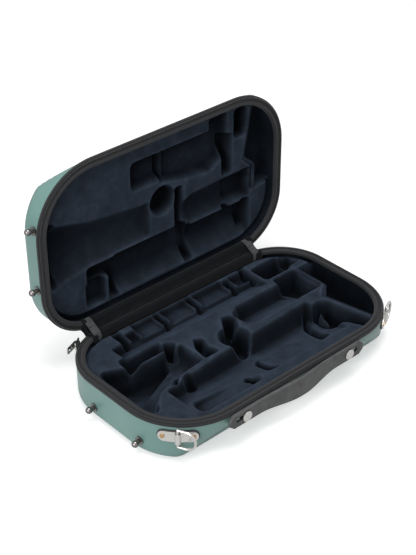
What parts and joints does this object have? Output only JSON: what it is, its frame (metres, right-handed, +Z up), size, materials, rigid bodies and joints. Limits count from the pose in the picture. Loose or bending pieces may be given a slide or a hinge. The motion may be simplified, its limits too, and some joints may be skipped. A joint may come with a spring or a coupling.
{
  "type": "clarinet case",
  "caption": "Zipped clarinet case, its lid held open by ribbons: two moulded shells, plush inserts, strap handle, D rings and feet.",
  "frame": {"origin": "the middle of the base's underside, on the table that the case lies on", "axes": "+X along the case to the right as seen from the handle, +Y to the hinge, +Z up out of the base"},
  "size_m": [0.3676, 0.2595, 0.2593],
  "materials": {
    "shell": "satin",
    "plush": "matte",
    "zip_tape": "matte",
    "zip_coil": "satin",
    "welt": "matte",
    "leather": "satin",
    "nickel": "polished",
    "plate": "satin",
    "brass": "satin",
    "pad": "matte",
    "cloth": "matte",
    "ribbon": "matte"
  },
  "bodies": {
    "base": {"base_feet": "nickel", "base_foot_nuts": "nickel", "base_foot_washers": "nickel", "base_insert": "plush", "base_lining": "plush", "base_rim_welt": "welt", "base_shell": "shell", "base_zipper_coil": "zip_coil", "base_zipper_tape": "zip_tape", "bay_divider": "plush", "d_ring_pad_left": "pad", "d_ring_pad_right": "pad", "d_ring_plate_left": "plate", "d_ring_plate_right": "plate", "d_ring_screws": "brass", "handle_end_left": "leather", "handle_end_right": "leather", "handle_nuts": "nickel", "handle_spacers": "pad", "handle_studs": "nickel", "hinge_lining": "cloth", "hinge_tape": "cloth", "stay_ribbon_left": "ribbon", "stay_ribbon_right": "ribbon"},
    "lid": {"lid_divider": "plush", "lid_feet": "nickel", "lid_foot_nuts": "nickel", "lid_foot_washers": "nickel", "lid_insert": "plush", "lid_lining": "plush", "lid_rim_welt": "welt", "lid_shell": "shell", "lid_zipper_coil": "zip_coil", "lid_zipper_tape": "zip_tape"},
    "handle": {"handle_grip": "leather"},
    "ring_left": {"d_ring_left": "nickel"},
    "ring_right": {"d_ring_right": "nickel"},
    "slider": {"zipper_slider": "nickel"},
    "pull": {"zipper_pull": "nickel"}
  },
  "joints": [
    {"name": "lid_hinge", "type": "hinge", "parent": "base", "child": "lid", "pos_m": [0, 0.1053, 0.05], "axis": [1, 0, 0], "range_deg": [0, 90], "deforming": ["hinge_tape", "hinge_lining", "stay_ribbon_left", "stay_ribbon_right"]},
    {"name": "handle_lift", "type": "slide", "parent": "base", "child": "handle", "axis": [0, -1, 0], "range_m": [0, 0.015], "deforming": ["handle_end_left", "handle_end_right"]},
    {"name": "d_ring_left_swing", "type": "hinge", "parent": "base", "child": "ring_left", "pos_m": [-0.15905, -0.08357, 0.036], "axis": [0, 0, 1], "range_deg": [-155, 15]},
    {"name": "d_ring_right_swing", "type": "hinge", "parent": "base", "child": "ring_right", "pos_m": [0.15905, -0.08357, 0.036], "axis": [0, 0, 1], "range_deg": [-155, 15]},
    {"name": "slider_run", "type": "hinge", "parent": "base", "child": "slider", "pos_m": [-0.1115, 0.038, 0.053], "axis": [0, 0, 1], "range_deg": [0, 54]},
    {"name": "pull_swing", "type": "hinge", "parent": "slider", "child": "pull", "pos_m": [-0.1507, 0.09612, 0.053], "axis": [0, 0, 1], "range_deg": [-125, 5]}
  ]
}
